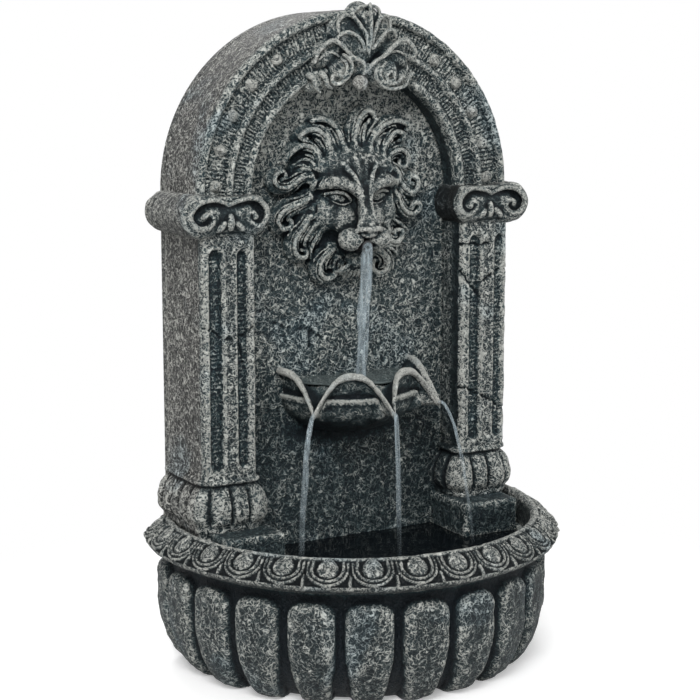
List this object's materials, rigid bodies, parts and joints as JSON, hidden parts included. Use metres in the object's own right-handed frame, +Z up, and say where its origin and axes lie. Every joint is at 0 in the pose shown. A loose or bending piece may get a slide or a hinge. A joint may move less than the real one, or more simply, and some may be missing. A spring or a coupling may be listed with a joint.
{
  "type": "garden wall fountain",
  "caption": "Wall-standing garden fountain: lion mask spouting into a shell bowl, arched niche between pilasters, half-round basin with a pump.",
  "frame": {"origin": "on the floor, under the middle of the fountain's box", "axes": "+Z up, +Y towards the wall behind, +X to the right of a viewer who faces the fountain"},
  "size_m": [0.392, 0.262, 0.6],
  "materials": {
    "cast_stone": "matte",
    "black_plastic": "satin",
    "hatch_plastic": "matte",
    "rubber": "matte",
    "steel": "satin",
    "hose": "gloss"
  },
  "bodies": {
    "fountain": {"basin": "cast_stone", "basin_rim": "cast_stone", "back_plate": "cast_stone", "back_panel": "cast_stone", "arch_roof": "cast_stone", "archivolt": "cast_stone", "arch_beads": "cast_stone", "keystone": "cast_stone", "left_plinth": "cast_stone", "right_plinth": "cast_stone", "left_base": "cast_stone", "right_base": "cast_stone", "left_shaft": "cast_stone", "right_shaft": "cast_stone", "left_capital": "cast_stone", "right_capital": "cast_stone", "lion_mask": "cast_stone", "shell_bowl": "cast_stone", "pump_housing": "black_plastic", "outlet_nozzle": "black_plastic", "chamber_cover": "black_plastic", "pump_gland": "black_plastic", "spout_elbow": "black_plastic", "cable_grommet": "rubber", "shaft_bushes": "rubber", "suction_cups": "rubber", "hose_clamps": "steel", "impeller_shaft": "steel", "riser_hose": "hose"},
    "impeller": {"impeller": "black_plastic"},
    "strainer": {"strainer": "black_plastic"},
    "flow_regulator": {"flow_regulator": "black_plastic"},
    "rear_hatch": {"rear_hatch": "hatch_plastic", "hatch_screws": "steel"}
  },
  "joints": [
    {"name": "impeller_spin", "type": "hinge", "parent": "fountain", "child": "impeller", "pos_m": [0, 0.104, 0.036], "axis": [1, 0, 0], "continuous": true},
    {"name": "strainer_pull", "type": "slide", "parent": "fountain", "child": "strainer", "axis": [1, 0, 0], "range_m": [0, 0.03]},
    {"name": "regulator_turn", "type": "hinge", "parent": "strainer", "child": "flow_regulator", "pos_m": [0.026, 0.104, 0.037], "axis": [1, 0, 0], "range_deg": [0, 90]},
    {"name": "hatch_pull", "type": "slide", "parent": "fountain", "child": "rear_hatch", "axis": [0, 1, 0], "range_m": [0, 0.12]}
  ]
}
